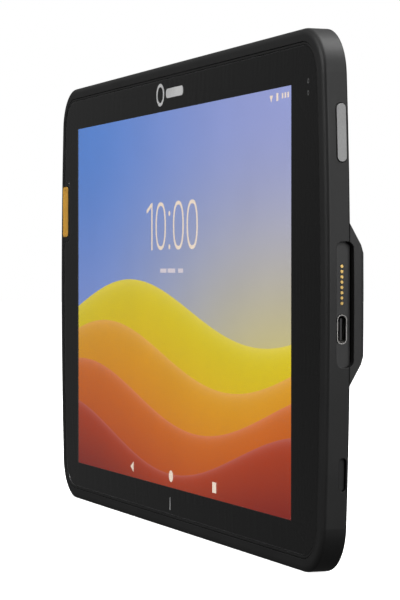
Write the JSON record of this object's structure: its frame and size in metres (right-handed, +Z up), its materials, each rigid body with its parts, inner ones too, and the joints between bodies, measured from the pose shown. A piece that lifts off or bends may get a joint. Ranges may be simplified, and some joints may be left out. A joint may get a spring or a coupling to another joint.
{
  "type": "rugged tablet data collector",
  "caption": "Slab-shaped rugged tablet data collector with a lit landscape screen, rounded black rim, scan button beside it, dock port and hinged battery door",
  "frame": {"origin": "centre of the lower long edge, on the surface that the tablet stands on", "axes": "+X towards the right of the screen, +Y towards the back of the tablet, +Z up; the screen faces -Y"},
  "size_m": [0.267, 0.0128, 0.167],
  "materials": {
    "rim": "fine satin texture, near black",
    "bezel": "fine satin texture, black",
    "glass": "clear toughened glass, polished",
    "mask_ink": "black printed border behind the glass",
    "mark_ink": "pale print",
    "seal": "matt black rubber",
    "display": "lit picture of coloured curves",
    "backlight": "white diffuser",
    "magnesium": "cast magnesium, grey",
    "housing": "spark-eroded texture, near black",
    "door": "spark-eroded texture, near black",
    "steel": "bright steel",
    "battery": "dark wrapped pack",
    "gold": "gold plated",
    "scan_orange": "amber moulded plastic, satin",
    "key_grey": "mid grey satin",
    "key_black": "dark satin",
    "switch": "moulded",
    "black_plastic": "black moulded",
    "port_shell": "drawn steel, warm grey",
    "board": "green solder mask",
    "flex": "amber polyimide",
    "mesh": "black woven mesh",
    "camera": "black barrel",
    "sensor": "smoked window",
    "window": "coated glass",
    "led": "phosphor yellow",
    "engine": "black moulded",
    "scan_glass": "deep red filter",
    "shield": "tinned sheet",
    "chip": "epoxy package",
    "graphite": "graphite sheet",
    "coil": "copper track on film",
    "weight": "sintered tungsten",
    "brass": "turned brass",
    "screw": "blackened steel"
  },
  "bodies": {
    "housing": {"bumper": "rim", "front_bezel": "bezel", "cover_glass": "glass", "bezel_mask": "mask_ink", "front_mark": "mark_ink", "glass_seal": "seal", "display_panel": "display", "backlight": "backlight", "mid_frame": "magnesium", "housing_seal": "seal", "rear_housing": "housing", "door_seal": "seal", "battery_pack": "battery", "battery_contacts": "gold", "rocker_pin": "steel", "key_switches": "switch", "port_plate": "black_plastic", "usb_shell": "port_shell", "usb_tongue": "black_plastic", "dock_contacts": "gold", "side_board": "board", "side_flex": "flex", "speakers": "black_plastic", "speaker_mesh": "mesh", "microphones": "switch", "front_camera": "camera", "light_sensor": "sensor", "rear_camera": "camera", "camera_window": "window", "flash_led": "led", "scan_engine": "engine", "scan_window": "scan_glass", "main_board": "board", "shield_cans": "shield", "board_chips": "chip", "heat_spreader": "graphite", "display_flex": "flex", "antenna_strips": "flex", "nfc_coil": "coil", "motor_can": "steel", "card_reader": "shield", "strap_inserts": "brass", "housing_screws": "screw", "board_screws": "steel"},
    "scan_button": {"scan_button": "scan_orange"},
    "side_key": {"side_key": "key_grey"},
    "power_key": {"power_key": "key_black"},
    "volume_rocker": {"volume_rocker": "key_black"},
    "battery_door": {"battery_door": "door", "door_hinge_pins": "steel"},
    "motor_rotor": {"motor_weight": "weight"},
    "card_tray": {"card_tray": "key_black"}
  },
  "joints": [
    {"name": "scan_press", "type": "slide", "parent": "housing", "child": "scan_button", "axis": [0, 1, 0], "range_m": [0, 0.0005], "stiffness_N_per_m": 500, "springref_m": -0.0006},
    {"name": "side_key_press", "type": "slide", "parent": "housing", "child": "side_key", "axis": [-0.9985, 0, -0.0545], "range_m": [0, 0.0005], "stiffness_N_per_m": 500, "springref_m": -0.0006},
    {"name": "power_press", "type": "slide", "parent": "housing", "child": "power_key", "axis": [0, 0, -1], "range_m": [0, 0.0005], "stiffness_N_per_m": 500, "springref_m": -0.0006},
    {"name": "volume_rock", "type": "hinge", "parent": "housing", "child": "volume_rocker", "pos_m": [0.056, 0, 0.1638], "axis": [0, 1, 0], "range_deg": [-2.5, 2.5], "stiffness_Nm_per_rad": 0.05},
    {"name": "battery_door_swing", "type": "hinge", "parent": "housing", "child": "battery_door", "pos_m": [0, 0.0054, 0.1145], "axis": [1, 0, 0], "range_deg": [0, 95]},
    {"name": "motor_spin", "type": "hinge", "parent": "housing", "child": "motor_rotor", "pos_m": [-0.0815, 0.0016, 0.02], "axis": [1, 0, 0], "continuous": true},
    {"name": "card_tray_slide", "type": "slide", "parent": "housing", "child": "card_tray", "axis": [-0.9998, 0, -0.0215], "range_m": [0, 0.014]}
  ]
}
